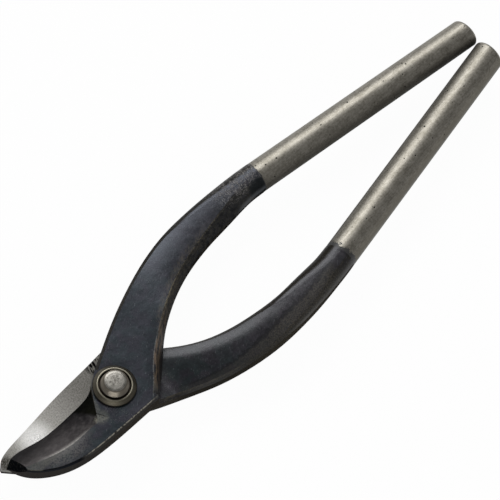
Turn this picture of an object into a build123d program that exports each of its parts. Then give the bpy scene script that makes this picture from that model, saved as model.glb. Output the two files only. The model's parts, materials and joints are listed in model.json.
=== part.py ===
"""Hand-forged snips for thin sheet: two forged halves crossing at one pivot bolt.

Units are millimetres.  The tool lies flat: +Z is the pivot axis, the handles point along +X and
the blades along -X.  Every shape is first drawn about the shear plane, the plane where the two
blades slide on each other, and is lifted at the end so that the nut's flat end lies at z = 0.

One half is described as if it were the front half: its handle swings to +Y and its blade lies to
-Y.  The rear half is drawn in the same way from its own outline, then turned over about the X axis.
"""
import os

from math import cos, radians

from build123d import *

# ---- driving sizes -------------------------------------------------------------------------
grip_end = 214.3        # from the pivot axis to the end of the front grip
grip_lag = 0.7          # the rear grip ends this much short of it
plate = 7.0             # thickness of each half at the pivot and along the blade
face_gap = 0.05         # each inner face stands this far off the shear plane
bar_rim = 1.3           # rounding of the grip's end rim
arm_bevel = 1.3         # bevel along the arm's long edges
hand_bevel = 2.9        # wider bevel on the side the hand closes on, near the pivot
bevel_x = 60.0          # where the hand's bevel starts to widen
shoulder_x = 56.0       # where the arm's other edges start to round
round_run = 26.0        # length over which a bevel turns into a round
face_r = 40.0           # the arm's two faces are slightly crowned across, to this radius
crown_start = 38.0      # and flat on the boss; the crown comes in over this run of x
crown_end = 54.0
joggle_x = 30.0         # where the arm starts to sink to the shear plane
joggle_end = 75.0       # and where its middle reaches it

steel = 1.8             # thickness of the hard steel face forge-welded to each blade
edge_z = 3.2            # thickness of the blade along its cutting edge
belly = 0.55            # how far the ground bevel bulges above a straight one
spine_bevel = 1.1       # bevel along the blade's back, dying out towards the tip
spine_bevel_x = -20.0   # where it starts to die out
spine_bevel_end = -40.0
joggle_r = 28.8         # inside this radius nothing of a half crosses the shear plane

pin_d = 8.0             # bolt shank
pin_fit = 0.05          # radial running clearance of the front half on the shank
pin_flat = 0.8          # depth of the flat that keys the bolt into the rear half
head_d = 11.0
head_top_d = 9.4
head_h = 4.4
head_band = 1.2         # upright band around the head's foot; the cone starts above it
head_crown = 0.35
washer_d = 17.0
washer_rim_d = 13.3     # the raised ring around the dish
washer_edge = 0.9       # height at the outer edge
washer_rim = 2.2        # height at the ring
washer_floor = 1.2      # height of the dish the head sits in
flat_washer = 1.6       # plain washer under the nut
nut_af = 13.0
nut_h = 4.6

lift = plate + flat_washer + nut_h      # nut end to shear plane

# ---- outlines, each half seen from its own outer face ----------------------------------------
# outer and inner are the arm's two edges, from the boss to the grip; edge, tip and spine go round
# the blade; ridge and foot are the upper and lower side of the ground bevel; facet is the plane
# that ends the tip; run_out is the small facet where the stone was lifted off at the ridge's heel;
# heel is the steel's weld line; grip gives (x, y, diameter) at its two ends.
FRONT = dict(
    outer=[(0.0, 10.2), (10.0, 15.0), (20.6, 19.7), (32.0, 23.9), (45.0, 27.8), (58.0, 30.3),
           (72.0, 31.2), (86.0, 30.8)],
    inner=[(9.0, -15.1), (19.5, -6.9), (27.6, -0.3), (37.0, 5.7), (49.0, 11.2), (60.0, 14.5),
           (73.0, 16.4), (86.0, 16.9)],
    grip=[(106.0, 22.7, 12.6), (grip_end, 6.25, 12.1)],
    edge=[(-4.9, 7.2), (-9.4, 5.3), (-15.2, 4.9), (-26.3, 5.1), (-35.1, 6.1), (-46.3, 8.6)],
    tip=[(-50.6, 7.6), (-49.7, 3.6)],
    spine=[(-47.7, -0.3), (-42.7, -5.4), (-33.2, -10.6), (-18.9, -13.5), (-0.8, -14.6)],
    ridge=[(-15.0, -5.6), (-23.0, -5.2), (-31.0, -4.3), (-42.3, -0.6), (-52.0, 3.0)],
    foot=[(-4.6, 8.6), (-19.0, 6.6), (-31.0, 7.4), (-45.5, 10.2), (-56.0, 13.0)],
    facet=[(-50.6, 7.4, 0.3), (-48.1, 8.4, 3.5), (-47.7, -0.3, 6.8)],
    run_out=[(-13.0, -2.0, 6.65), (-15.6, -5.6, 6.95), (-10.3, -7.6, 7.0)],
    heel=[(4.0, -15.0), (-9.0, -4.0), (-11.0, 6.0)],
)
REAR = dict(
    outer=[(0.0, 10.2), (10.0, 15.2), (20.6, 20.0), (32.0, 24.8), (45.0, 28.8), (58.0, 31.3),
           (72.0, 32.3), (86.0, 31.8)],
    inner=[(9.0, -15.1), (19.5, -6.9), (28.0, 0.5), (37.3, 7.2), (49.2, 12.9), (60.0, 16.0),
           (73.0, 17.8), (86.0, 17.7)],
    grip=[(104.0, 23.2, 13.0), (grip_end - grip_lag, 6.7, 13.0)],
    edge=[(-4.9, 6.6), (-9.4, 3.6), (-15.2, 1.6), (-26.3, -0.8), (-35.1, -2.0), (-45.0, -3.2)],
    tip=[(-48.4, -4.4), (-52.0, -8.8)],
    spine=[(-50.6, -10.8), (-46.6, -12.4), (-38.2, -13.2), (-18.0, -14.5), (-0.7, -14.8)],
    ridge=[(-15.0, -7.6), (-24.0, -8.2), (-34.0, -8.4), (-44.0, -8.2), (-55.0, -8.4)],
    foot=[(-4.6, 8.0), (-19.0, 2.6), (-31.0, 0.2), (-45.5, -0.8), (-56.0, -1.2)],
    facet=[(-48.4, -4.4, 3.4), (-52.0, -8.8, 3.4), (-47.6, -7.4, 5.6)],
    run_out=[(-13.0, -3.8, 6.65), (-15.6, -7.6, 6.95), (-10.3, -9.4, 7.0)],
    heel=[(4.0, -15.2), (-9.0, -4.0), (-11.0, 6.0)],
)
ARC_HANDLE = 0.5523     # cubic handle length that draws a quarter circle


def ease(x, start, end):
    """Smooth step: 0 before start, 1 after end, flat at both."""
    t = min(max((x - start) / (end - start), 0.0), 1.0)
    return t * t * (3 - 2 * t)


def corner(start, control, end, roundness):
    """One corner of a section: a cubic that goes from straight to very nearly a circle's arc."""
    a, c, b = (Vector(*p) for p in (start, control, end))
    near_a = (a + (b - a) / 3) * (1 - roundness) + (a + (c - a) * ARC_HANDLE) * roundness
    near_b = (b + (a - b) / 3) * (1 - roundness) + (b + (c - b) * ARC_HANDLE) * roundness
    return Bezier(a, near_a, near_b, b)


def section(outer, inner, half):
    """Upright section of the arm between two edge points: flat bar near the pivot, round at the
    grip.  Its middle sinks from the half's own side of the shear plane to the plane itself."""
    width = (outer - inner).length
    across = (outer - inner).normalized()
    x = (outer.X + inner.X) / 2
    grip_x, _, grip_d = half["grip"][0]
    radius = grip_d / 2
    flat = (plate - face_gap) / 2
    tall = flat + (radius - flat) * ease(x, joggle_x, grip_x)
    middle = (plate + face_gap) / 2 * (1 - ease(x, joggle_x, joggle_end))
    top = middle + tall
    bottom = middle - tall
    full = 0.97 * radius
    out_cut = arm_bevel + (full - arm_bevel) * ease(x, shoulder_x, grip_x)
    out_round = ease(x, shoulder_x, shoulder_x + round_run)
    in_cut = hand_bevel + (full - hand_bevel) * ease(x, bevel_x, grip_x)
    in_round = ease(x, grip_x - round_run, grip_x)
    in_drop = min(in_cut, tall * 0.97)
    share = ease(x, crown_start, crown_end)
    face = width - out_cut - in_cut
    crown = face ** 2 / (8 * face_r) * share
    rim = top - crown
    low_face = width - 2 * out_cut
    low_crown = low_face ** 2 / (8 * face_r) * share
    low_rim = bottom + low_crown

    def at(distance, height):
        spot = inner + across * distance
        return (spot.X, spot.Y, height)

    ring = [
        Bezier(at(in_cut, rim), at(in_cut + face / 2, top + crown), at(width - out_cut, rim)),
        corner(at(width - out_cut, rim), at(width, rim), at(width, top - out_cut), out_round),
        Line(at(width, top - out_cut), at(width, bottom + out_cut)),
        corner(at(width, bottom + out_cut), at(width, low_rim), at(width - out_cut, low_rim),
               out_round),
        Bezier(at(width - out_cut, low_rim), at(width / 2, bottom - low_crown),
               at(out_cut, low_rim)),
        corner(at(out_cut, low_rim), at(0, low_rim), at(0, bottom + out_cut), out_round),
        Line(at(0, bottom + out_cut), at(0, top - in_drop)),
        corner(at(0, top - in_drop), at(0, rim), at(in_cut, rim), in_round),
    ]
    return Face(Wire(ring))


def arm(half):
    """The curved arm, from the boss around the pivot to the start of the grip."""
    (x, y, diameter), (far_x, far_y, _) = half["grip"]
    along = Vector(far_x - x, far_y - y, 0).normalized()
    side = Vector(-along.Y, along.X, 0) * diameter / 2
    edges = []
    for points, finish in ((half["outer"], side), (half["inner"], side * -1)):
        start_run = Vector(*points[1], 0) - Vector(*points[0], 0)
        ends = points + [(x + finish.X, y + finish.Y)]
        edges.append(Spline(ends, tangents=[start_run, along]))
    outer, inner = edges
    count = 14
    return loft([section(outer @ (i / count), inner @ (i / count), half)
                 for i in range(count + 1)])


def inset(points, amount):
    """Move a run of outline points sideways, to the left of the way it runs; amount is a function
    of x."""
    moved = []
    for i, (x, y) in enumerate(points):
        ahead = points[min(i + 1, len(points) - 1)]
        behind = points[max(i - 1, 0)]
        run = Vector(ahead[0] - behind[0], ahead[1] - behind[1], 0).normalized()
        moved.append((x - run.Y * amount(x), y + run.X * amount(x)))
    return moved


def spine_inset(x):
    """How far the bevel on the blade's back reaches in, at a given x."""
    return spine_bevel * (0.25 + 0.75 * ease(x, spine_bevel_end, spine_bevel_x))


def blade_outline(half, height, bevelled=False):
    """Plan of the blade and boss at a height, its back moved in where it is bevelled."""
    near_out = half["outer"][0]
    near_in = half["inner"][0]
    back = [half["tip"][1]] + half["spine"] + [near_in]
    if bevelled:
        back = inset(back, spine_inset)
    ring = [
        Spline([near_out] + half["edge"] + [half["tip"][0]]),
        Line(half["tip"][0], back[0]),
        Spline(back),
        Line(back[-1], near_out),
    ]
    return Pos(0, 0, height) * make_face(Wire(ring))


def plane_through(points):
    """Plane through three points whose normal points up."""
    a, b, c = (Vector(*p) for p in points)
    normal = (b - a).cross(c - a)
    if normal.Z < 0:
        normal = normal * -1
    return Plane(origin=a, z_dir=normal)


def above(plane):
    """A block filling the space on the upper side of a plane."""
    return plane * Pos(0, 0, grip_end / 2) * Box(grip_end, grip_end, grip_end)


def bevel_cut(half):
    """What the grindstone takes off the blade's outer face, as a loft of sections with a slightly
    hollow underside, which leaves a slightly convex bevel."""
    slices = []
    low = edge_z - 0.9
    for (rx, ry), (ex, ey) in zip(half["ridge"], half["foot"]):
        mid = ((rx + ex) / 2, (ry + ey) / 2, (plate + low) / 2 + belly)
        ring = [
            ThreePointArc((rx, ry, plate), mid, (ex, ey, low)),
            Line((ex, ey, low), (ex, ey, plate + 6)),
            Line((ex, ey, plate + 6), (rx, ry, plate + 6)),
            Line((rx, ry, plate + 6), (rx, ry, plate)),
        ]
        slices.append(Face(Wire(ring)))
    return loft(slices)


def run_out_cut(half):
    """What was taken off over the small slanted facet at the ridge's heel end."""
    facet = make_face(Polyline(half["run_out"], close=True))
    return extrude(facet, amount=edge_z, dir=(0, 0, 1))


def half_tool(half):
    """One half in one piece: blade with its bevels, joined to the arm."""
    shoulder = plate - spine_bevel
    blade = extrude(blade_outline(half, face_gap), amount=shoulder - face_gap)
    blade = blade + loft([blade_outline(half, shoulder), blade_outline(half, plate, True)],
                         ruled=True)
    blade = blade - bevel_cut(half) - run_out_cut(half)
    blade = blade - above(plane_through(half["facet"]))
    low = (Align.CENTER, Align.CENTER, Align.MAX)
    under = Pos(0, 0, face_gap) * Cylinder(joggle_r, 30, align=low)
    return blade + (arm(half) - under)


def blade_steel(half, whole):
    """The hard steel face: the bottom layer of the blade, ahead of its weld line at the heel."""
    ahead = half["heel"] + [(-70, 20), (-70, -40), (half["heel"][0][0], -40)]
    region = make_face(Polyline(ahead, close=True))
    return whole & (Pos(0, 0, face_gap) * extrude(region, amount=steel))


def shank(fit=0.0, keyed=False, length=6 * plate):
    """The pivot bolt's shank, or the hole for it when a fit is given; keyed adds the flat."""
    body = Cylinder(pin_d / 2 + fit, length)
    if keyed:
        body = body - Pos(pin_d - pin_flat + fit, 0, 0) * Box(pin_d, 2 * pin_d, length)
    return body


def grip(half):
    """Round grip bar, butt-welded to the arm, cut square at the far end and rounded over there."""
    (x, y, diameter), (far_x, far_y, far_d) = half["grip"]
    start = Vector(x, y, 0)
    run = Vector(far_x - x, far_y - y, 0)
    past = start + run * 1.05
    past_d = diameter + (far_d - diameter) * 1.05
    bar = loft([Plane(origin=start, z_dir=run) * Circle(diameter / 2),
                Plane(origin=past, z_dir=run) * Circle(past_d / 2)], ruled=True)
    bar = bar - Pos(far_x + grip_end / 2, 0, 0) * Box(grip_end, grip_end, grip_end)
    return fillet(bar.edges().sort_by(Axis.X)[-1], bar_rim)


def turned(points):
    """A piece turned about the pivot axis from its (radius, height) profile."""
    return revolve(Plane.XZ * make_face(Polyline(points, close=True)), Axis.Z)


def dished_washer(base):
    """Turned washer: cone up to a raised ring, then a dish for the bolt's head."""
    r_out = washer_d / 2
    r_rim = washer_rim_d / 2
    r_dish = head_d / 2 + 0.45
    return turned([
        (pin_d / 2 + pin_fit, base),
        (r_out - 0.3, base),
        (r_out, base + 0.3),
        (r_out, base + washer_edge - 0.25),
        (r_out - 0.25, base + washer_edge),
        (r_rim + 0.25, base + washer_rim - 0.12),
        (r_rim, base + washer_rim),
        (r_rim - 0.25, base + washer_rim - 0.1),
        (r_dish, base + washer_floor),
        (pin_d / 2 + pin_fit, base + washer_floor),
    ])


def pivot_bolt(head_base, end):
    """Pivot bolt: low conical head with a crown, then a shank with a flat below the shear plane."""
    r = head_d / 2
    r_top = head_top_d / 2
    top = head_base + head_h
    blank = turned([
        (0, head_base),
        (r, head_base),
        (r, head_base + head_band),
        (r_top, top - head_crown),
        (r_top, top + 1),
        (0, top + 1),
    ])
    crown_r = (r_top ** 2 + head_crown ** 2) / (2 * head_crown)
    head = blank & (Pos(0, 0, top - crown_r) * Sphere(crown_r))
    round_part = Pos(0, 0, head_base / 2) * shank(length=head_base)
    keyed_part = Pos(0, 0, end / 2) * shank(keyed=True, length=-end)
    return head + round_part + keyed_part


def pivot_nut(base, end):
    """Hexagon nut with its outer corners turned off; its end is the face the tool rests on."""
    height = base - end
    hexagon = RegularPolygon(nut_af / 2, 6, major_radius=False)
    nut = Pos(0, 0, end) * extrude(hexagon, amount=height)
    across = nut_af / 2 / cos(radians(30))
    blank = turned([
        (pin_d / 2 + pin_fit, end),
        (nut_af / 2 - 0.3, end),
        (across + 0.1, end + 1.0),
        (across + 0.1, base),
        (pin_d / 2 + pin_fit, base),
    ])
    return nut & blank


def over(shape):
    """Turn a piece of the rear half from its own outline to where it sits under the front half."""
    return Rot(180, 0, 0) * shape


def build():
    """Every node, drawn about the shear plane."""
    front = half_tool(FRONT)
    rear = half_tool(REAR)
    front_steel = blade_steel(FRONT, front)
    rear_steel = blade_steel(REAR, rear)
    washer_base = plate + face_gap
    rear_washer = turned([
        (pin_d / 2 + pin_fit, plate),
        (washer_d / 2, plate),
        (washer_d / 2, plate + flat_washer - 0.4),
        (washer_d / 2 - 0.4, plate + flat_washer),
        (pin_d / 2 + pin_fit, plate + flat_washer),
    ])
    nut_base = -(plate + flat_washer)
    return {
        "front_forging": front - front_steel - shank(pin_fit),
        "front_edge_steel": front_steel,
        "front_grip_bar": grip(FRONT),
        "rear_forging": over(rear - rear_steel) - shank(pin_fit, keyed=True),
        "rear_edge_steel": over(rear_steel),
        "rear_grip_bar": over(grip(REAR)),
        "front_washer": dished_washer(washer_base),
        "rear_washer": over(rear_washer),
        "pivot_bolt": pivot_bolt(washer_base + washer_floor, nut_base - nut_h),
        "pivot_nut": pivot_nut(nut_base, nut_base - nut_h),
    }


os.makedirs("parts", exist_ok=True)
for node, shape in build().items():
    export_step(Pos(0, 0, lift) * shape, f"parts/{node}.step")
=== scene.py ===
# %% [markdown]
# # Snips for thin sheet metal
# This lesson dresses a finished CAD model of hand-forged snips. The solids already have their real
# shapes and sizes, so the work here is in the surfaces: black forge scale, ground steel, turned
# steel, and the light they are seen in. Lengths in the shaders are in millimetres, because a smith
# would name them that way, while Blender's own unit stays the metre.

import json
import math

import bpy
import numpy as np
from mathutils import Matrix, Vector

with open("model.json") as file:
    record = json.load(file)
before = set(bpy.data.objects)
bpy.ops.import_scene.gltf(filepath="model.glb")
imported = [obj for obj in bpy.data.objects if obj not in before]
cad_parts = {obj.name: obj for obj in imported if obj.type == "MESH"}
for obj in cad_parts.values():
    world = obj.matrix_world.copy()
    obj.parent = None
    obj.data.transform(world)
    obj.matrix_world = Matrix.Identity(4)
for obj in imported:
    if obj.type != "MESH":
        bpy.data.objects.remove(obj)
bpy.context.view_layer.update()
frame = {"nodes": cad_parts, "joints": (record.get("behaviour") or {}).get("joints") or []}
nodes = frame["nodes"]
pivot_height = frame["joints"][0]["pos_m"][2]
print("pieces:", ", ".join(sorted(nodes)))

# %% [markdown]
# ## Arithmetic on surfaces
# A shader is a sum worked out at every point of a surface. Blender draws it as boxes and wires, and
# Python can write it as an ordinary expression instead: the class below wraps one output socket, and
# each operator adds the Math node that does its work. Swapped forms are there so that 1 - mask works.

# %% A number that varies over a surface
class Value:
    """One output socket. Sums with other values or plain numbers give new values."""

    def __init__(self, owner, socket):
        self.owner = owner
        self.socket = socket

    def _sum(self, operation, first, second):
        return self.owner.node("ShaderNodeMath", {"operation": operation}, {0: first, 1: second})

    def __add__(self, other):
        return self._sum("ADD", self, other)

    def __radd__(self, other):
        return self._sum("ADD", other, self)

    def __sub__(self, other):
        return self._sum("SUBTRACT", self, other)

    def __rsub__(self, other):
        return self._sum("SUBTRACT", other, self)

    def __mul__(self, other):
        return self._sum("MULTIPLY", self, other)

    def __rmul__(self, other):
        return self._sum("MULTIPLY", other, self)

    def __truediv__(self, other):
        return self._sum("DIVIDE", self, other)

    def __pow__(self, other):
        return self._sum("POWER", self, other)

    def __neg__(self):
        return self._sum("MULTIPLY", self, -1.0)

    def at_least(self, other):
        return self._sum("MAXIMUM", self, other)

    def at_most(self, other):
        return self._sum("MINIMUM", self, other)

    def size(self):
        """The value without its sign."""
        return self.owner.node("ShaderNodeMath", {"operation": "ABSOLUTE"}, {0: self})

    def rise(self, start, end):
        """Smooth step: 0 where the value is at start, 1 where it is at end, flat beyond both."""
        return self.owner.node(
            "ShaderNodeMapRange", {"interpolation_type": "SMOOTHSTEP"},
            {"Value": self, "From Min": start, "From Max": end})


print("besides sums, a value has:", ", ".join(name for name in vars(Value) if not name.startswith("_")))

# %% [markdown]
# ## Nodes without wires
# One method adds every other kind of node. It makes the node's choices first, because a choice can
# change which sockets there are, and then fills or links the sockets by name or by number. Colours
# are written as the numbers one would pick on a screen, and turned into the linear numbers that
# shaders add up.

# %% A material and the nodes it is made of
class NodeMaterial:
    """An empty material: node() adds to it, and show() makes a shader its surface."""

    def __init__(self, name):
        self.material = bpy.data.materials.new(name)
        self.material.use_nodes = True
        self.tree = self.material.node_tree
        self.tree.nodes.clear()

    def node(self, kind, settings, sockets, output=0):
        """Add a node: its settings first, then the values or links of its sockets."""
        box = self.tree.nodes.new(kind)
        for name, setting in settings.items():
            setattr(box, name, setting)
        for name, value in sockets.items():
            if isinstance(value, Value):
                self.tree.links.new(value.socket, box.inputs[name])
            else:
                box.inputs[name].default_value = value
        return Value(self, box.outputs[output])

    def show(self, shader):
        """Link a shader to the material's output, and give the finished material."""
        output = self.tree.nodes.new("ShaderNodeOutputMaterial")
        self.tree.links.new(shader.socket, output.inputs["Surface"])
        print(self.material.name, "has", len(self.tree.nodes), "nodes")
        return self.material


def shade(red, green, blue):
    """A colour given as 0 to 255 display values, turned into the linear values shaders use."""
    display = np.array([red, green, blue]) / 255.0
    linear = np.where(display <= 0.04045, display / 12.92, ((display + 0.055) / 1.055) ** 2.4)
    return (*map(float, linear), 1.0)


print("mid grey on a screen is", round(shade(128, 128, 128)[0], 3), "in a shader")

# %% [markdown]
# ## One finish
# Every metal finish starts in the same way: the place of the point in the object's own frame, in
# millimetres, and the direction that the surface faces there. A bevel can then be told from a flat by
# its direction alone, which is how wear finds the edges without any painting. The colour is built up
# in coats, as paint is: a coat is a colour, and the share of what lies under it that it hides.

# %% A finish: textures, masks and coats
SLIDE = 1000.0 * pivot_height    # height of the plane on which the two blades slide


class Finish(NodeMaterial):
    """A metal finish under construction, with shorthands for textures, masks and coats."""

    def __init__(self, name):
        super().__init__(name)
        spot = self.node("ShaderNodeTexCoord", {}, {}, "Object")
        self.place = self.node(
            "ShaderNodeVectorMath", {"operation": "SCALE"}, {0: spot, "Scale": 1000.0})
        self.x, self.y, self.z = self.parts(self.place)
        self.height = self.z - SLIDE
        facing = self.node("ShaderNodeTexCoord", {}, {}, "Normal")
        self.facing_x, self.facing_y, self.facing_z = self.parts(facing)

    def parts(self, vector):
        """The three numbers of a vector."""
        box = self.node("ShaderNodeSeparateXYZ", {}, {0: vector}).socket.node
        return [Value(self, box.outputs[i]) for i in range(3)]

    def point(self, x, y, z):
        """A vector from three numbers or values."""
        return self.node("ShaderNodeCombineXYZ", {}, {0: x, 1: y, 2: z})

    def blend(self, under, over, share):
        """A colour between two colours: share 0 is all under, 1 is all over."""
        return self.node(
            "ShaderNodeMix", {"data_type": "RGBA", "clamp_factor": True},
            {0: share, 6: under, 7: over}, 2)

    def coat(self, over, share):
        """Lay a colour over the finish's own colour."""
        self.colour = self.blend(self.colour, over, share)

    def noise(self, size, detail=2.0, roughness=0.5, place=None):
        """Soft cloudy variation between 0 and 1; size is the width of one cloud in mm."""
        return self.node(
            "ShaderNodeTexNoise", {},
            {"Vector": place or self.place, "Scale": 1.0 / size, "Detail": detail,
             "Roughness": roughness})

    def cells(self, size):
        """Distance to the nearest of many scattered points, as a share of size, which is in mm."""
        return self.node("ShaderNodeTexVoronoi", {}, {"Vector": self.place, "Scale": 1.0 / size})

    def through(self, value, points):
        """A smooth line drawn through a few points: the height that belongs to each value."""
        across = [p[0] for p in points]
        upward = [p[1] for p in points]
        start, span = min(across), max(across) - min(across)
        low, rise = min(upward), max(upward) - min(upward)
        curve = self.node("ShaderNodeFloatCurve", {}, {"Value": (value - start) / span})
        line = curve.socket.node.mapping.curves[0]
        spots = sorted(((a - start) / span, (u - low) / rise) for a, u in points)
        line.points[0].location = spots[0]
        line.points[1].location = spots[-1]
        for spot in spots[1:-1]:
            line.points.new(*spot)
        curve.socket.node.mapping.update()
        return curve * rise + low

    def patch(self, centre, radius, softness=0.5):
        """1 inside a round patch about a point, falling to 0 at its rim."""
        away = self.node(
            "ShaderNodeVectorMath", {"operation": "DISTANCE"}, {0: self.place, 1: centre}, "Value")
        return away.rise(radius, radius * (1 - softness))

    def surface(self, roughness, metallic, height, matte=None, **fixed):
        """Finish the material in its colour. height is the relief in mm, matte the share that has no
        sheen at all; fixed are sockets that don't vary."""
        relief = self.node("ShaderNodeBump", {}, {"Height": height, "Distance": 0.001, "Strength": 1.0})
        sockets = {"Base Color": self.colour, "Roughness": roughness, "Metallic": metallic,
                   "Normal": relief}
        sockets.update({name.replace("_", " "): value for name, value in fixed.items()})
        shader = self.node("ShaderNodeBsdfPrincipled", {}, sockets)
        if matte is not None:
            dull = self.node("ShaderNodeBsdfDiffuse", {}, {"Color": self.colour, "Normal": relief})
            shader = self.node("ShaderNodeMixShader", {}, {0: matte, 1: shader, 2: dull})
        return self.show(shader)


def wear(material, *names):
    """Put a material on every slot of the named pieces."""
    for name in names:
        for slot in nodes[name].material_slots:
            slot.material = material


print("the blades slide", round(SLIDE, 1), "mm above the floor")

# %% [markdown]
# ## Black forge scale
# The halves are forged from mild steel and left with the black scale of the fire, rubbed with oil.
# A few textures serve the whole skin: wide clouds, patches, a mottle, a fine grain, and streaks. Three
# masks find the bevels, those of them that face +y, and the walls together with the bevels under them.
# The masks could be painted, but they need only the direction that a surface faces: a flat is level, a
# wall is upright, and a bevel leans between the two.

# %% Textures and masks that all the scale shares
FLAT_TO_BEVEL = (0.955, 0.88)    # how level a face is: 1 is level, 0 is upright
WALL_TO_BEVEL = (0.10, 0.40)


class ForgeScale(Finish):
    """Forge scale before its first coat."""

    def __init__(self, name):
        super().__init__(name)
        self.cloud = self.noise(11.0, 3.0)
        self.patches = self.noise(2.4, 4.0, 0.65)
        self.mottle = self.noise(0.9, 5.0, 0.7)
        self.grain = self.noise(0.35, 2.0, 0.6)
        self.streaks = self.noise(0.6, 5.0, 0.75, self.point(self.x * 0.45, self.y * 0.45, self.z))
        level = self.facing_z.size()
        self.bevel = level.rise(*FLAT_TO_BEVEL) * level.rise(*WALL_TO_BEVEL)
        self.far_bevel = self.bevel * self.facing_y.rise(0.35, 0.6)
        self.wall = self.facing_z.rise(0.40, 0.10) * self.facing_z.rise(-0.95, -0.60)


gentle = math.degrees(math.acos(FLAT_TO_BEVEL[1]))
steep = math.degrees(math.acos(WALL_TO_BEVEL[1]))
print("a bevel leans", round(gentle), "to", round(steep), "degrees from level")

# %% [markdown]
# ### Flats and walls
# On the flats the scale changes in cloudy patches from green-black to violet-black, and turns greyer
# and lighter towards the grips, partly a grey tint and partly a painted highlight. The walls are a
# streaky dark brown, and plainer and greyer along the blades.
# Scratches run aslant over everything, with a few pale specks. All this could be painted on, but
# noise needs no unwrapping, and it stays sharp from close by.

# %% Flats, walls and scratches
BLACK_SCALE = shade(5, 7, 11)


def flats(f):
    """The first coat: near-black scale, lighter and tinted in patches."""
    tint = f.noise(5.0, 2.0).rise(0.38, 0.62)
    light = f.blend(shade(25, 38, 39), shade(39, 34, 43), tint)
    # towards the grips: partly a grey tint, partly a painted highlight
    light = f.blend(light, shade(68, 65, 70), f.x.rise(25.0, 75.0) * 0.7)
    share = (f.cloud * 0.25 + f.patches * 0.4 + f.mottle * 0.35).rise(0.28, 0.72)
    f.colour = f.blend(BLACK_SCALE, light, share)


def walls(f):
    """Streaky brown, greyer along the blades."""
    brown = f.blend(shade(24, 22, 20), shade(78, 73, 65), f.streaks)
    brown = f.blend(brown, shade(54, 52, 51), f.x.rise(-12.0, -32.0) * 0.7)
    f.coat(brown, f.wall * 0.85)


def scratches(f):
    """Slanting scratches and pale specks."""
    aslant = f.point(f.x * 0.3 + f.y * 0.5, f.y * 2.2 - f.x * 1.6, f.z)
    f.coat(shade(96, 99, 102), f.noise(1.0, 4.0, 0.6, aslant).rise(0.60, 0.72) * 0.5)
    specks = f.noise(0.55, 2.0, 0.6).rise(0.69, 0.76) + f.cloud.rise(0.5, 0.62) * f.grain.rise(0.60, 0.70)
    f.coat(shade(116, 115, 110), specks * 0.5)


print("black scale is", [round(part, 4) for part in BLACK_SCALE[:3]], "in a shader")

# %% [markdown]
# ### Rubbed bevels
# Hands wear the long bevels to brown bare steel in streaks, and brightest of all in a thin broken
# line just under the upper face. That face is not at one height: behind the pivot each arm is set
# over until the two lie level, and then swells to meet the round bar. The line could be drawn by hand,
# but with that height worked out along x it stays just under the corner all the way.

# %% Bevels and the line that the hand has worn
SET_OVER = (30.0, 75.0)    # x where the arms begin and end to be set over


def arm_top(f, start, step, swell, weld_x):
    """Height of an arm's upper face over the sliding plane. start is its height at the pivot, step
    what setting the arm over adds, and swell what the swelling adds by the weld at weld_x."""
    return start + step * f.x.rise(*SET_OVER) + swell * f.x.rise(SET_OVER[0], weld_x)


def bevels(f, top, rubbing):
    """Brown streaks, a dull coat where they face +y, and a bright broken line under the face at height
    top. rubbing, from 0 to 1, is how strongly the hand has worn them. Gives the rubbed share."""
    light = f.blend(shade(99, 90, 74), shade(66, 66, 58), f.x.rise(30.0, 80.0))
    light = f.blend(shade(62, 59, 52), light, rubbing)
    brown = f.blend(shade(32, 29, 23), light, f.streaks.rise(0.42, 0.72))
    rubbed = f.bevel * f.streaks.rise(0.25, 0.55)
    f.coat(brown, rubbed * 0.85)
    f.coat(shade(34, 31, 25), f.far_bevel * 0.75)
    line = f.bevel * (top - f.height).rise(0.9, 0.2) * f.x.rise(8.0, 12.0) * f.x.rise(94.0, 56.0)
    line = line * f.facing_y.rise(0.1, -0.2) * f.streaks.rise(0.40, 0.56)
    broken = f.noise(1.3, 3.0, 0.6).rise(0.36, 0.56)
    f.coat(shade(164, 154, 130), line * rubbing * (0.25 + 0.75 * broken))
    return rubbed


print("the arms are set over between x", SET_OVER[0], "and", SET_OVER[1], "mm")

# %% [markdown]
# ### The whole skin
# The coats go on in turn: flats, bevels, walls, and scratches over all of them. The oil film tints the
# sheen, blue on the front half and almost grey on the rear. A clear coat could stand in for the oil,
# but so thin a film is well enough shown by the colour of the sheen itself. The walls have no sheen at
# all, and the bevels that face +y have less than half of it.

# %% Forge scale, ready for local marks
SHEEN = 0.42
BLUE_SHEEN = (0.79, 0.86, 1.0, 1.0)
GREY_SHEEN = (0.90, 0.91, 0.95, 1.0)


def lay_scale(f, rubbing, **arm):
    """The coats that both halves share, and the roughness, metal share, relief and matte share that
    go with them. arm is what arm_top asks for."""
    flats(f)
    rubbed = bevels(f, arm_top(f, **arm), rubbing)
    walls(f)
    scratches(f)
    f.roughness = 0.20 + 0.14 * f.mottle + 0.12 * f.patches
    f.metal = 0.3 * rubbed
    f.relief = 0.022 * f.mottle + 0.010 * f.grain + 0.26 * f.cloud + 0.03 * f.patches
    f.matte = f.wall.at_least(f.far_bevel * 0.6)


print("sheen of the scale:", SHEEN)

# %% [markdown]
# ## Front half: the ground bevel
# The front blade's long bevel is ground bare. Its colour is painted darker towards the heel, nearly
# black there, as painted shade of the hollow, and greyer towards the tip. It is ground slightly convex,
# so it takes the light towards the ridge and falls dark towards the edge. Dark paint would not do that,
# so the bevel is a metal with a dark colour. Around the middle of the blade the land beside the ridge is
# rubbed light, and the ridge carries a paler line, a painted highlight.

# %% Bevel, ridge and land
RIDGE = [(-52.0, 3.0), (-42.3, -0.6), (-31.0, -4.3), (-23.0, -5.2), (-13.0, -5.6)]


class FrontScale(ForgeScale):
    """Forge scale with the mask, distances and texture that the front half's own marks share."""

    def __init__(self, name):
        super().__init__(name)
        self.blade = self.x.rise(-3.0, -5.5)
        self.forward = -self.x
        self.fine = self.noise(0.6, 4.0, 0.7)
        self.along = self.x * 0.73 + self.y * 0.68
        self.across = self.x * 0.68 - self.y * 0.73


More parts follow.
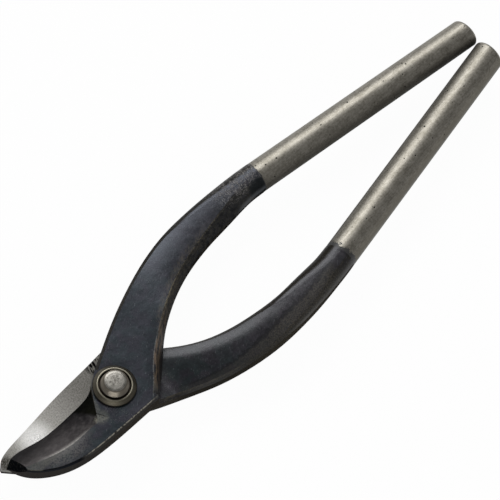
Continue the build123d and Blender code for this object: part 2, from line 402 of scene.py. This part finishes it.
def ground_bevel(f):
    """Dark ground steel with fine grinding lines, blackest at the heel as painted shade."""
    ground = f.blade * f.facing_y.rise(0.04, 0.10) * f.facing_z.rise(0.5, 0.75)
    # painted shade: darker towards the heel of the hollow
    steel = f.blend(shade(8, 7, 8), shade(42, 40, 40), f.forward.rise(9.0, 42.0))
    stone = f.noise(1.6, 4.0, 0.7, f.point(f.x * 0.6 - f.y * 0.2, f.y + f.x * 0.2, f.z))
    steel = f.blend(steel, shade(88, 85, 84), stone.rise(0.40, 0.75) * 0.12)
    steel = f.blend(steel, shade(2, 2, 2), stone.rise(0.50, 0.25) * 0.2)
    # painted shade: nearly black at the heel, under the boss
    heel_shade = (f.x + 0.54 * f.y + 14.6 + 1.6 * f.fine).rise(-1.0, 1.4)
    steel = f.blend(steel, shade(4, 4, 2), heel_shade * 0.9)
    f.coat(steel, ground)
    f.metal = f.metal.at_least(ground)
    lines = f.noise(0.5, 3.0, 0.6, f.point(f.x * 0.2, f.y, f.z * 0.5))
    f.relief = f.relief + 0.01 * ground * lines


def rubbed_land_and_ridge_highlight(f):
    """A pale land beside the ridge, and a paler line on the ridge that is a painted highlight."""
    ridge_y = f.through(f.x, RIDGE)
    land = f.blade * f.facing_z.rise(0.97, 0.995) * (ridge_y - f.y).rise(8.0, 2.0)
    land = land * f.forward.rise(18.0, 30.0) * f.forward.rise(46.0, 36.0)
    f.coat(shade(104, 101, 96), land * f.fine.rise(0.3, 0.7) * 0.8)
    # painted highlight: the paler line along the ridge
    line = (f.y - ridge_y + 0.5).size().rise(2.0, 0.2)
    line = line * f.forward.rise(14.0, 31.0) * f.forward.rise(45.0, 34.0)
    f.coat(shade(112, 110, 107), line * f.fine.rise(0.10, 0.60) * 0.6)


print("the ridge is drawn from x", RIDGE[0][0], "to", RIDGE[-1][0], "mm")

# %% [markdown]
# ## Front half: back, heel and tip
# The bevel along the blade's back is brown, with a bright dashed line on its upper corner that is a
# painted highlight. Near the tip it is painted black, together with a thin line beside it, as painted
# shade. At the heel the stone ran out and left a small facet; that facet and a rim towards the washer
# are painted lighter, a painted highlight. The flat that ends the blade is painted black, a painted
# shade. The direction a surface faces doesn't tell the thin line and the rim from what is next to
# them, so each follows a smooth curve through a few points.

# %% Back, heel and tip of the blade
BACK = [(-48.5, 1.0), (-47.7, -0.3), (-42.7, -5.4), (-33.2, -10.6), (-18.9, -13.5)]
HEEL_RIM = [(-5.0, -13.6), (-1.8, -11.4), (2.3, -10.1), (4.6, -8.1), (8.0, -5.0)]    # y first, then x
HEEL_FACET = (-12.6, -4.9, SLIDE + 6.9)


def blade_back(f):
    """The back's bevel: brown with bright dashes, a painted highlight, and black near the tip, painted
    shade.
    """
    back = f.x.rise(9.5, 8.0) * (-f.facing_y).rise(0.05, 0.2) * f.facing_z.rise(0.12, 0.25)
    near_tip = f.forward.rise(24.0, 31.0)
    f.coat(shade(50, 47, 41), back * (1.0 - near_tip) * 0.8)
    # painted highlight: bright dashes on the upper corner
    dash_highlights = f.noise(0.9, 3.0, 0.65).rise(0.36, 0.56) * f.height.rise(6.5, 6.8)
    f.coat(shade(160, 155, 142), back * dash_highlights * (1.0 - near_tip))
    # painted shade: a thin black line beside the back near the tip
    shadow_line = (f.y - f.through(f.x, BACK)).rise(1.0, 0.6) * f.facing_z.rise(0.1, 0.3) * f.blade
    f.coat(shade(8, 8, 8), back.at_least(shadow_line) * near_tip)
    f.metal = f.metal.at_least(shadow_line * near_tip)


def blade_heel_highlight(f):
    """Facet and rim where the bevel runs out, painted lighter as a painted highlight."""
    rim = (f.x - f.through(f.y, HEEL_RIM)).rise(1.7, 0.7) * f.y.rise(-4.6, -3.6) * f.y.rise(7.6, 6.6)
    # painted highlight on the facet and the rim
    facet_highlight = f.patch(HEEL_FACET, 3.8).at_least(rim * f.blade) * f.facing_z.rise(0.97, 0.985)
    f.coat(shade(84, 83, 75), facet_highlight * f.fine.rise(0.2, 0.65) * 0.8)


def blade_tip_shade(f):
    """The flat that ends the blade, painted black as painted shade."""
    shaded_flat = (-f.facing_x).rise(0.45, 0.6) * f.blade * f.facing_z.rise(0.2, 0.35)
    # painted shade: the end flat is painted black
    f.coat(f.blend(shade(1, 1, 1), shade(40, 38, 34), f.fine.rise(0.5, 0.7)), shaded_flat)
    f.metal = f.metal.at_least(shaded_flat)


print("curves through", len(BACK), "points on the back and", len(HEEL_RIM), "on the heel")

# %% [markdown]
# ## Front half: where the palm rubs
# The palm rubs the inner corner of the arm. Just behind the pivot it leaves a strip of lengthwise
# lines with a pale rim, and has turned the corner down a little. That could be modelled, but relief in
# the finish is enough for so little, and leaves the solid's own shape alone. Away from its rim the
# strip is painted dark, a painted shade towards the rear arm. Further back there is a brown haze
# beside the bevel and, towards the grip, soft patches of soot.

# %% Strip, haze and soot along the inner corner
STRIP = [(3.0, -16.7), (7.3, -13.3), (11.8, -9.3), (20.3, -1.6), (28.0, 3.5), (37.0, 8.8), (44.0, 12.3)]
PALM_EDGE = [(19.5, -6.9), (27.6, -0.3), (37.0, 5.7), (49.0, 11.2), (60.0, 14.5), (73.0, 16.4),
             (86.0, 16.9)]


def palm_strip(f):
    """Lengthwise lines on a turned-down strip, dark away from its rim as painted shade, and the pale rim
    above it.
    """
    above = f.y - f.through(f.x, STRIP)
    strip = above.rise(0.4, -0.3) * f.facing_z.rise(0.3, 0.6) * f.x.rise(6.0, 8.0) * f.x.rise(42.0, 28.0)
    lines = f.noise(0.8, 3.0, 0.6, f.point(f.along * 0.15, f.across, f.z))
    light = f.blend(shade(78, 78, 74), shade(112, 93, 73), f.x.rise(9.0, 15.0))
    # painted shade: the strip turns dark away from its rim, towards the rear arm
    share = lines.rise(0.40, 0.62) * above.rise(-3.9, -1.5)
    f.coat(f.blend(shade(18, 15, 13), light, share), strip * 0.8)
    rim = (above - 0.1).size().rise(0.45, 0.10) * f.x.rise(6.0, 8.0) * f.x.rise(34.0, 22.0)
    f.coat(shade(112, 114, 112), rim * f.fine.rise(0.35, 0.6) * 0.6)
    turned_down = (4.8 - above).at_least(0.0) ** 2.0 * f.x.rise(2.0, 12.0) * f.x.rise(40.0, 28.0)
    f.relief = f.relief - 0.007 * turned_down


def palm_edge(f):
    """Brown haze beside the bevel, and soot on it towards the grip."""
    inward = f.y - f.through(f.x, PALM_EDGE)
    haze = inward.rise(6.4, 4.0) * inward.rise(0.8, 2.4) * f.x.rise(22.0, 36.0) * f.x.rise(84.0, 62.0)
    haze = haze * f.noise(0.8, 4.0, 0.75, f.point(f.along * 0.4, f.across, f.z)).rise(0.38, 0.66)
    f.coat(shade(100, 92, 76), haze * 0.42)
    soot = inward.rise(5.0, 3.6) * f.x.rise(46.0, 60.0) * f.x.rise(98.0, 88.0)
    f.coat(shade(6, 6, 5), soot * f.noise(1.8, 4.0, 0.7).rise(0.48, 0.58) * 0.75)


print("the strip is drawn from x", STRIP[0][0], "mm, the palm's edge to x", PALM_EDGE[-1][0], "mm")

# %% [markdown]
# ## Front half: the weld, and all of it together
# Where the grip was welded on, the scale is rough and grey on top, pocked beside that, and smooth
# and nearly black on the low side. Soft round patches say where each kind lies, and noise breaks the
# first two into flecks and pocks. With that the front half has all its marks, and the same finish goes
# on its forging and on the hard steel that is welded to its blade.

# %% Weld, and the front half's finish
ROUGH_SPOT = (98.0, 28.0, 19.0)
POCKED_SPOT = (89.0, 27.5, 19.0)
SMOOTH_SPOT = (102.5, 17.6, 16.6)


def front_weld(f):
    """Grey flecks, black pocks and a smooth dark patch before the grip."""
    weld = f.patch(ROUGH_SPOT, 19.0, 0.8) * f.facing_y.rise(-0.80, -0.50)
    flecks = f.noise(0.5, 3.0, 0.8).rise(0.46, 0.62) * f.noise(1.8, 2.0).rise(0.30, 0.60)
    f.coat(shade(160, 156, 152), weld * flecks * 0.75)
    f.relief = f.relief + 0.06 * weld * flecks
    f.coat(shade(4, 4, 4), f.patch(POCKED_SPOT, 11.0) * f.noise(0.7).rise(0.60, 0.66))
    f.coat(shade(8, 13, 12), f.patch(SMOOTH_SPOT, 5.4, 0.3) * 0.9)


def front_finish(name):
    """Forge scale with every mark of the front half laid over it."""
    f = FrontScale(name)
    lay_scale(f, rubbing=0.8, start=7.0, step=-3.5, swell=2.8, weld_x=106.0)
    for mark in (ground_bevel, rubbed_land_and_ridge_highlight, blade_back, blade_heel_highlight, palm_strip, palm_edge, blade_tip_shade,
                 front_weld):
        mark(f)
    return f.surface(f.roughness, f.metal, f.relief, f.matte,
                     Specular_IOR_Level=SHEEN, Specular_Tint=BLUE_SHEEN)


wear(front_finish("front_forge_scale"), "front_forging", "front_edge_steel")

# %% [markdown]
# ## Rear half
# The rear half wears the same scale with far less rubbing, because it lies underneath. Its two long
# edges were rounded over by the hammer, which a relief that deepens towards each edge stands in for.
# Beside the pivot the scale is painted a little paler, a painted highlight, and the outer edge
# carries a dull brown band with an uneven black border. The heel of its sliding face is scored by
# ragged black strokes, which run on from the forging to the edge steel, so both finishes draw them
# with the same few lines.

# %% Rear forging
INNER_EDGE = [(19.5, 6.9), (28.0, -0.5), (37.3, -7.2), (49.2, -12.9), (60.0, -16.0), (80.0, -17.8)]
OUTER_EDGE = [(0.0, -10.2), (20.6, -20.0), (32.0, -24.8), (45.0, -28.8), (58.0, -31.3), (72.0, -32.3),
              (86.0, -31.8), (104.0, -28.5)]
SCORED_SPOT = (4.8, 13.4, SLIDE)


def hammered_edges(f, from_inner):
    """Relief that falls towards each long edge, with the square of the distance past a line."""
    near = (7.0 - from_inner).at_least(0.0) * f.x.rise(82.0, 62.0)
    f.relief = f.relief - 0.024 * near ** 2.0 * f.x.rise(14.0, 20.0)
    far = (from_inner - 5.0).at_least(0.0)
    f.relief = f.relief - 0.009 * far ** 2.0 * f.x.rise(16.0, 26.0) * f.x.rise(92.0, 76.0)


def outer_band(f, from_inner):
    """A painted highlight beside the pivot, and the dull band with its black border on the outer edge."""
    blotches = f.noise(1.2, 4.0, 0.7)
    pivot_highlight = f.x.rise(44.0, 20.0) * from_inner.rise(12.0, 3.0)
    # painted highlight: a paler patch beside the pivot
    f.coat(shade(70, 73, 78), pivot_highlight * blotches.rise(0.2, 0.7) * 0.2)
    width = 3.0 + 3.2 * f.x.rise(25.0, 75.0)
    depth = (f.y - f.through(f.x, OUTER_EDGE)) / width + 0.9 * blotches
    along = f.x.rise(14.0, 26.0) * f.x.rise(99.0, 93.0)
    band = depth.rise(1.65, 1.30) * along
    light = f.blend(shade(46, 44, 38), shade(84, 79, 67), f.x.rise(34.0, 70.0))
    f.coat(f.blend(shade(20, 19, 17), light, f.noise(0.5, 4.0, 0.7).rise(0.36, 0.68)), band * 0.6)
    f.coat(shade(3, 3, 3), (depth - 1.55).size().rise(0.22, 0.04) * along * 0.6)
    f.roughness = f.roughness + 0.14 * band


def heel_strokes(f):
    """Ragged black strokes that cross the heel of the sliding face."""
    strokes = f.noise(1.0, 2.0, 0.5, f.point(f.x * 1.2 - f.y * 0.5, f.y * 0.35 + f.x * 0.2, f.z))
    return strokes.rise(0.48, 0.54) * f.patch(SCORED_SPOT, 6.0, 0.4)


def rear_finish(name):
    """Forge scale with the rear half's edges and outer band, and bare steel on its sliding face."""
    f = ForgeScale(name)
    lay_scale(f, rubbing=0.15, start=0.0, step=3.5, swell=3.0, weld_x=104.0)
    from_inner = f.through(f.x, INNER_EDGE) - f.y
    hammered_edges(f, from_inner)
    outer_band(f, from_inner)
    bare = f.x.rise(10.0, 8.0) * f.height.rise(-0.6, -0.2)
    f.coat(f.blend(shade(98, 96, 91), shade(6, 6, 6), heel_strokes(f)), bare)
    return f.surface(f.roughness, f.metal.at_least(bare), f.relief, f.matte,
                     Specular_IOR_Level=SHEEN, Specular_Tint=GREY_SHEEN)


wear(rear_finish("rear_forge_scale"), "rear_forging")

# %% [markdown]
# ## The ground sliding face
# The face on which the two blades slide is ground on a stone and then rubbed fine. Its colour is
# painted brighter in a band that peaks a little past the middle, towards the tip, and brightest in a
# round soft patch there, which is also made smoother: the band and the patch are a painted highlight.
# File marks cross its heel, where nothing rubs them away, and there is a rusty stain near the tip.

# %% Ground steel on the rear sliding face
# centre of the painted highlight, where the face is also smoother
POLISH_AND_HIGHLIGHT_SPOT = (-34.0, 8.5, SLIDE)
STAINED_SPOT = (-48.6, 9.2, SLIDE)


def ground_face(name):
    """Satin steel with grinding lines across, a painted highlight in a band and a smoother patch, a scored
    heel and a stain.
    """
    f = Finish(name)
    lines = f.noise(0.35, 3.0, 0.6, f.point(f.x, f.y * 0.15, f.z))
    grain = f.noise(0.6, 4.0, 0.8).rise(0.3, 0.7)
    rubbed = f.x.rise(-4.0, -34.0) * f.x.rise(-54.0, -36.0)
    polish_and_highlight = f.patch(POLISH_AND_HIGHLIGHT_SPOT, 9.5, 1.0)
    stained = f.patch(STAINED_SPOT, 3.6, 0.6) * f.noise(0.5, 3.0, 0.7).rise(0.34, 0.54)
    f.colour = f.blend(shade(78, 76, 72), shade(118, 116, 112), grain)
    # painted highlight: the band that is brighter towards a little past the middle
    f.coat(shade(172, 170, 165), rubbed * (0.4 + 0.6 * grain))
    # painted highlight in a round patch, which is also made smoother below
    f.coat(shade(252, 251, 249), polish_and_highlight * (0.7 + 0.3 * grain))
    f.coat(shade(6, 6, 6), heel_strokes(f))
    f.coat(shade(30, 26, 18), stained * 0.8)
    return f.surface(0.34 + 0.10 * lines - 0.12 * polish_and_highlight, 1.0, 0.004 * lines + 0.006 * grain)


wear(ground_face("rear_ground_face"), "rear_edge_steel")

# %% [markdown]
# ## Bright grip bars
# The grips are round bar, ground bright along their length, which leaves fine lengthwise lines, and
# dotted with small black pits where the scale bit deeper than the stone went. The side that faces the
# other grip is matte and painted dark, darkest towards the ends, as painted shade between the grips,
# and the far side is painted a little darker too, more on the rear bar than on the front one.

# %% Ground bar with pits
def ground_bar(name, weld, run, ragged, inner, outer_shade):
    """Bright bar: lines along x, a mottle and sparse pits. Forge scale reaches over the weld by an
    uneven edge: weld is a point on it, run the bar's direction, ragged the reach in mm. The side that
    faces the other grip is matte and painted dark as painted shade: inner is 1 where that is +y and -1
    where -y. The last argument is how much painted shade darkens the other side."""
    f = Finish(name)
    lines = f.noise(0.6, 3.0, 0.6, f.point(f.x * 0.05, f.y, f.z))
    mottle = f.noise(0.9, 5.0, 0.75)
    share = (mottle * 0.55 + lines * 0.25 + f.noise(5.0, 2.0) * 0.2).rise(0.25, 0.75)
    f.colour = f.blend(shade(98, 94, 84), shade(170, 166, 157), share)
    pits = f.cells(2.9).rise(0.15, 0.07) * f.noise(9.0, 1.0).rise(0.42, 0.52)
    f.coat(shade(30, 28, 26), pits)
    shaded_inner_side = (f.facing_y * inner).rise(0.62, 0.98)
    near_end = f.x.rise(165.0, 200.0)
    # painted shade on the side that faces the other grip, darkest towards the ends
    f.coat(f.blend(shade(36, 34, 29), shade(10, 8, 6), near_end), shaded_inner_side * 0.8)
    # painted shade on the far side
    f.coat(shade(78, 74, 64), (f.facing_y * -inner).rise(0.55, 1.0) * outer_shade)
    past_weld = (f.x - weld[0]) * run[0] + (f.y - weld[1]) * run[1]
    scale = (past_weld - ragged * f.noise(1.8, 4.0, 0.75).rise(0.25, 0.75)).rise(0.25, 0.0)
    f.coat(shade(52, 52, 52), scale)
    return f.surface(0.40 + 0.12 * mottle + 0.3 * pits, 1.0 - 0.9 * scale,
                     0.006 * lines + 0.012 * mottle - 0.12 * pits, shaded_inner_side * 0.75)


front_bar = ground_bar("front_ground_bar", weld=(106.0, 22.7), run=(0.989, -0.150), ragged=0.6,
                       inner=-1.0, outer_shade=0.3)
rear_bar = ground_bar("rear_ground_bar", weld=(104.0, -23.2), run=(0.989, 0.149), ragged=3.0,
                      inner=1.0, outer_shade=0.9)
wear(front_bar, "front_grip_bar")
wear(rear_bar, "rear_grip_bar")

# %% [markdown]
# ## Turned steel
# The bolt's head and the washer come off a lathe, so their marks are rings about the pivot. They are
# oiled and a little worn, and dirt sits in the middle of the head. Painted shade darkens the dish, the
# cone of the head and the washer's outer rim, which is black, and the thin bead round the dish is
# painted bright, a painted highlight.
# All of them depend on one number, the distance from the pivot's axis, so nothing is unwrapped.

# %% Lathe-turned steel
SHOULDER_SHADE = (4.05, 4.35)       # distance from the axis where painted shade darkens the head towards its cone
DISH_SHADE = (5.2, 6.45)       # where the painted shade in the dish begins and ends
BEAD = 6.62                   # where the painted highlight on the bead round the dish is brightest
RIM_SHADOW = (8.15, 8.4)        # where painted shadow turns the washer's rim black
HEAD_TO_WASHER = (9.9, 9.0)   # heights over the sliding plane: all head above, all washer below


def turned_coats(f, ring, mottle, washer):
    """Coats laid in rings, from the middle of the head out to the washer's rim."""
    head = 1.0 - washer
    f.coat(shade(70, 67, 62), ring.rise(2.9, 1.6) * mottle.rise(0.55, 0.35) * head * 0.8)
    f.coat(shade(71, 66, 53), washer * (0.75 + 0.25 * f.noise(2.5, 3.0, 0.6)))
    # painted shade on the cone of the head
    f.coat(shade(118, 111, 100), ring.rise(*SHOULDER_SHADE) * head * 0.9)
    # painted shade in the dish round the head
    dish = ring.rise(DISH_SHADE[1], DISH_SHADE[1] - 0.45) * ring.rise(DISH_SHADE[0], DISH_SHADE[0] + 0.3)
    f.coat(shade(46, 40, 34), dish * f.height.rise(9.2, 8.4))
    # painted highlight on the bead round the dish
    bead_highlight = (ring - BEAD).size().rise(0.40, 0.15) * f.height.rise(8.6, 9.0) * washer
    f.coat(shade(160, 155, 139), bead_highlight * 0.8)
    # painted shadow on the washer's outer rim
    f.coat(shade(16, 14, 11), ring.rise(*RIM_SHADOW) * washer * 0.9)


def turned_steel(name):
    """Steel with turning marks: rings whose height depends on the distance from the pivot. shoulder
    rounds the head's top into its cone. lean turns the cone a little up and the washer's rim a little
    out, as light sees them."""
    f = Finish(name)
    flat_place = f.point(f.x, f.y, 0.0)
    ring = f.node("ShaderNodeVectorMath", {"operation": "LENGTH"}, {0: flat_place}, "Value")
    rings = f.noise(0.3, 2.0, 0.5, f.point(ring, 0.0, f.z))
    mottle = f.noise(0.9, 4.0, 0.65)
    blotch = f.noise(1.6, 4.0, 0.7).rise(0.35, 0.65)
    share = mottle * 0.35 + blotch * 0.3 + rings.rise(0.35, 0.65) * 0.35
    f.colour = f.blend(shade(84, 81, 75), shade(176, 173, 166), share)
    washer = f.height.rise(*HEAD_TO_WASHER)
    turned_coats(f, ring, mottle, washer)
    shoulder = (ring - 3.3).at_least(0.0).at_most(1.4) ** 2.0 * 0.21 * (1.0 - washer)
    lean = (f.height - 9.6).at_least(0.0) * 0.53 + (ring - 6.9).at_least(0.0) * 0.13
    return f.surface(0.28 + 0.16 * mottle + 0.1 * washer, 0.95,
                     0.006 * rings + 0.05 * mottle - shoulder - lean)


wear(turned_steel("turned_pivot_steel"), "pivot_bolt", "front_washer", "rear_washer", "pivot_nut")

# %% [markdown]
# ## Floor and sky
# Bare steel has no colour of its own to speak of: it shows the room. The room here is a white paper
# floor under a weak, even sky. Where the camera or a reflection looks at the floor it glows almost
# white, and for all other light it is plain matte paper, so its brightness can be chosen without
# lighting the tool from below.

# %% Floor
GLOW = 0.97    # share of glow where the camera or a reflection looks
half_side = 3.0
corners = [(-half_side, -half_side, 0), (half_side, -half_side, 0), (half_side, half_side, 0),
           (-half_side, half_side, 0)]
floor_mesh = bpy.data.meshes.new("floor")
floor_mesh.from_pydata(corners, [], [(0, 1, 2, 3)])
floor = bpy.data.objects.new("floor", floor_mesh)
bpy.context.scene.collection.objects.link(floor)

paper = NodeMaterial("paper_floor")
matte = paper.node("ShaderNodeBsdfDiffuse", {}, {"Color": (0.9, 0.9, 0.9, 1.0)})
white = paper.node("ShaderNodeEmission", {}, {"Strength": 1.0})
rays = paper.node("ShaderNodeLightPath", {}, {}).socket.node.outputs
camera_ray = Value(paper, rays["Is Camera Ray"])
glossy_ray = Value(paper, rays["Is Glossy Ray"])
through_ray = Value(paper, rays["Is Transmission Ray"])
glow = (camera_ray + glossy_ray + through_ray) * GLOW
floor_mesh.materials.append(paper.show(paper.node("ShaderNodeMixShader", {}, {0: glow, 1: matte, 2: white})))
print("floor:", 2 * half_side, "m square")

# %% Sky
SKY_STRENGTH = 0.30
world = bpy.data.worlds.new("studio")
bpy.context.scene.world = world
world.use_nodes = True
sky = world.node_tree.nodes["Background"]
sky.inputs["Color"].default_value = (1.0, 1.0, 1.0, 1.0)
sky.inputs["Strength"].default_value = SKY_STRENGTH
print("sky strength:", SKY_STRENGTH)

# %% [markdown]
# ## Soft lights
# The round grips need a bright side and a dark side to look round, so the main light is one large
# softbox beyond the handles. A smaller one higher up brightens what is nearly level. A long strip
# stands low on the camera's own side, and draws the bright crescent on the rim of the bolt's head.

# %% Softboxes
AIM = Vector((0.08, 0.0, 0.01))    # the place on the tool that every lamp faces


def direction(azimuth, elevation):
    """Unit vector, azimuth degrees round from +x and elevation degrees above the floor."""
    azimuth, elevation = math.radians(azimuth), math.radians(elevation)
    return Vector((math.cos(azimuth) * math.cos(elevation), math.sin(azimuth) * math.cos(elevation),
                   math.sin(elevation)))


def softbox(name, azimuth, elevation, distance, width, depth, radiance):
    """A rectangular lamp that faces the tool. Its power is radiance times area times pi."""
    towards = direction(azimuth, elevation)
    lamp = bpy.data.lights.new(name, "AREA")
    lamp.shape = "RECTANGLE"
    lamp.size = width
    lamp.size_y = depth
    lamp.energy = radiance * width * depth * math.pi
    carrier = bpy.data.objects.new(name, lamp)
    carrier.location = AIM + towards * distance
    carrier.rotation_euler = towards.to_track_quat("Z", "Y").to_euler()
    bpy.context.scene.collection.objects.link(carrier)
    print(name, round(lamp.energy, 2), "W")


softbox("key_softbox", 60.0, 42.0, distance=1.1, width=0.9, depth=0.48, radiance=4.6)
softbox("overhead_softbox", 50.0, 55.0, distance=1.3, width=0.50, depth=0.35, radiance=3.2)
softbox("front_strip", 214.0, 24.0, distance=1.2, width=1.0, depth=0.40, radiance=3.2)

# %% [markdown]
# ## Camera
# The tool is seen from well above, 64 degrees over the floor, from beyond the blades, and the camera is
# rolled 13 degrees. A long lens from a metre and a half keeps the perspective gentle.

# %% Camera
CAMERA_DISTANCE = 1.5316
CAMERA_LENS = 285.1
roll = math.radians(13.0)
target = Vector((0.08148, 0.00343, pivot_height))
back = direction(210.35, 64.0)
level_right = Vector((0, 0, 1)).cross(back).normalized()
level_up = back.cross(level_right)
right = math.cos(roll) * level_right + math.sin(roll) * level_up
up = back.cross(right)
camera_data = bpy.data.cameras.new("camera")
camera_data.sensor_width = 36.0
camera_data.lens = CAMERA_LENS
camera_data.clip_end = 20.0
camera = bpy.data.objects.new("camera", camera_data)
camera.matrix_world = Matrix.Translation(target + CAMERA_DISTANCE * back) @ Matrix(
    (right, up, back)).transposed().to_4x4()
bpy.context.scene.collection.objects.link(camera)
bpy.context.scene.camera = camera
bpy.context.scene.view_settings.view_transform = "Standard"
print("camera at", [round(c, 3) for c in camera.location])
